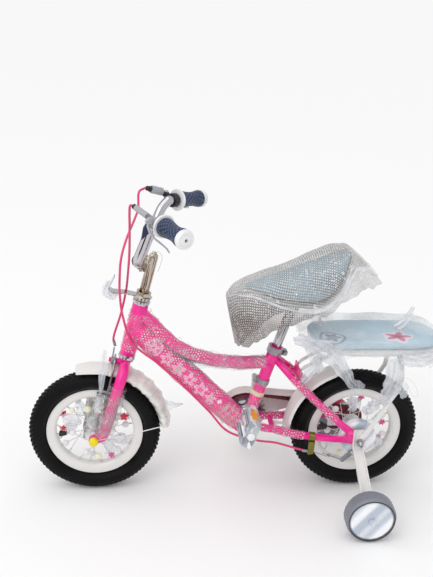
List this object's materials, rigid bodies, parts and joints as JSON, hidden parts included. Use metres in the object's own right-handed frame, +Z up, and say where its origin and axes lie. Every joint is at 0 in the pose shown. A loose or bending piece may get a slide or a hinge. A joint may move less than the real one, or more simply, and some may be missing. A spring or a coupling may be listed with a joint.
{
  "type": "kids bike",
  "caption": "Small child's bicycle with side stabilisers, chain case, hand brakes, mudguards, padded saddle and a padded passenger seat over the rear wheel, the seats still in bubble film.",
  "frame": {"origin": "middle of the bicycle's length and width, on the ground", "axes": "+X towards the rear, so the bicycle points along -X; +Y towards its right side; +Z up"},
  "size_m": [0.945, 0.475, 0.7171],
  "materials": {
    "pink_paint": "gloss",
    "chrome": "polished",
    "zinc": "zinc plated",
    "white_paint": "gloss",
    "white_plastic": "moulded",
    "blue_vinyl": "soft vinyl",
    "film": "bubble film",
    "grey_plastic": "hard moulded",
    "silver_plastic": "silver moulded",
    "gold_steel": "yellow passivated",
    "chain_steel": "dark oiled",
    "tyre_rubber": "tread rubber",
    "navy_rubber": "grip rubber",
    "black_plastic": "moulded",
    "yellow_plastic": "moulded",
    "pink_cable": "extruded outer"
  },
  "bodies": {
    "frame": {"frame": "pink_paint", "headset_lower_cup": "chrome", "headset_upper_cup": "chrome", "seat_collar": "zinc", "rear_axle": "zinc", "stabiliser_bracket_left": "white_paint", "stabiliser_bracket_right": "white_paint", "chain_guard": "white_plastic", "guard_clip": "zinc", "rear_mudguard": "white_plastic", "carrier_frame": "white_paint", "passenger_pad_base": "white_plastic", "passenger_pad": "blue_vinyl", "passenger_wrap": "film", "rear_brake_cover": "silver_plastic", "rear_brake_clip": "gold_steel", "rear_cable_lower": "pink_cable", "rear_cable_upper": "pink_cable", "chain": "chain_steel"},
    "steering": {"fork": "pink_paint", "headset_nut": "chrome", "stem": "chrome", "handlebar": "chrome", "grip_core_left": "white_plastic", "grip_core_right": "white_plastic", "grip_left": "navy_rubber", "grip_right": "navy_rubber", "lever_bracket_left": "black_plastic", "lever_bracket_right": "black_plastic", "basket_bracket": "chrome", "front_axle": "zinc", "axle_cap_left": "yellow_plastic", "axle_cap_right": "yellow_plastic", "front_mudguard": "white_plastic", "front_cable": "pink_cable"},
    "front_wheel": {"front_hub": "zinc", "front_rim": "white_paint", "front_tyre": "tyre_rubber"},
    "rear_wheel": {"rear_hub": "zinc", "rear_rim": "white_paint", "rear_tyre": "tyre_rubber"},
    "crankset": {"crank_left": "chrome", "crank_right": "chrome", "chainring": "zinc"},
    "pedal_left": {"pedal_left": "white_plastic"},
    "pedal_right": {"pedal_right": "white_plastic"},
    "freewheel": {"freewheel": "chain_steel"},
    "lever_left": {"brake_lever_left": "zinc"},
    "lever_right": {"brake_lever_right": "zinc"},
    "caliper_left": {"caliper_left": "zinc"},
    "caliper_right": {"caliper_right": "zinc"},
    "rear_brake_arm": {"rear_brake_arm": "zinc"},
    "seat": {"seat_post": "chrome", "saddle_base": "white_plastic", "saddle": "blue_vinyl", "saddle_wrap": "film"},
    "stabiliser_left": {"stabiliser_wheel_left": "grey_plastic", "stabiliser_disc_left": "silver_plastic"},
    "stabiliser_right": {"stabiliser_wheel_right": "grey_plastic", "stabiliser_disc_right": "silver_plastic"}
  },
  "joints": [
    {"name": "steering_turn", "type": "hinge", "parent": "frame", "child": "steering", "pos_m": [-0.2445, 0, 0.349], "axis": [0.2388, 0, 0.9711], "range_deg": [-60, 60], "deforming": ["rear_cable_upper"]},
    {"name": "front_wheel_spin", "type": "hinge", "parent": "steering", "child": "front_wheel", "pos_m": [-0.3205, 0, 0.152], "axis": [0, 1, 0], "continuous": true},
    {"name": "rear_wheel_spin", "type": "hinge", "parent": "frame", "child": "rear_wheel", "pos_m": [0.2925, 0, 0.152], "axis": [0, 1, 0], "continuous": true},
    {"name": "crank_spin", "type": "hinge", "parent": "frame", "child": "crankset", "pos_m": [0.03374, 0, 0.172], "axis": [0, 1, 0], "continuous": true, "deforming": ["chain"]},
    {"name": "freewheel_spin", "type": "hinge", "parent": "frame", "child": "freewheel", "pos_m": [0.2925, 0, 0.152], "axis": [0, 1, 0], "continuous": true},
    {"name": "pedal_left_spin", "type": "hinge", "parent": "crankset", "child": "pedal_left", "pos_m": [0.01924, 0, 0.2466], "axis": [0, 1, 0], "continuous": true},
    {"name": "pedal_right_spin", "type": "hinge", "parent": "crankset", "child": "pedal_right", "pos_m": [0.04824, 0, 0.0974], "axis": [0, 1, 0], "continuous": true},
    {"name": "lever_left_pull", "type": "hinge", "parent": "steering", "child": "lever_left", "pos_m": [-0.19718, -0.1217, 0.69582], "axis": [-0.5708, -0.3874, 0.7239], "range_deg": [0, 7.5], "stiffness_Nm_per_rad": 0.8, "springref_deg": -8.59},
    {"name": "lever_right_pull", "type": "hinge", "parent": "steering", "child": "lever_right", "pos_m": [-0.16107, 0.12717, 0.68694], "axis": [0.43, -0.5831, -0.6893], "range_deg": [0, 7.5], "stiffness_Nm_per_rad": 0.8, "springref_deg": -8.59},
    {"name": "caliper_left_close", "type": "hinge", "parent": "steering", "child": "caliper_left", "pos_m": [-0.25035, 0, 0.32521], "axis": [-0.9711, 0, 0.2388], "range_deg": [-2.6, 0]},
    {"name": "caliper_right_close", "type": "hinge", "parent": "steering", "child": "caliper_right", "pos_m": [-0.25035, 0, 0.32521], "axis": [-0.9711, 0, 0.2388], "range_deg": [0, 2.6]},
    {"name": "brake_arm_pull", "type": "hinge", "parent": "frame", "child": "rear_brake_arm", "pos_m": [0.2805, 0, 0.118], "axis": [0, 1, 0], "range_deg": [0, 14]},
    {"name": "seat_slide", "type": "slide", "parent": "frame", "child": "seat", "axis": [0.293, 0, 0.9561], "range_m": [-0.008, 0.06]},
    {"name": "stabiliser_left_spin", "type": "hinge", "parent": "frame", "child": "stabiliser_left", "pos_m": [0.289, 0, 0.056], "axis": [0, 1, 0], "continuous": true},
    {"name": "stabiliser_right_spin", "type": "hinge", "parent": "frame", "child": "stabiliser_right", "pos_m": [0.289, 0, 0.056], "axis": [0, 1, 0], "continuous": true}
  ],
  "couplings": [
    {"joint": "freewheel_spin", "follows": "crank_spin", "ratio": 1.7143},
    {"joint": "caliper_left_close", "follows": "lever_left_pull", "ratio": -0.3466},
    {"joint": "caliper_right_close", "follows": "lever_left_pull", "ratio": 0.3466},
    {"joint": "brake_arm_pull", "follows": "lever_right_pull", "ratio": 1.866}
  ]
}
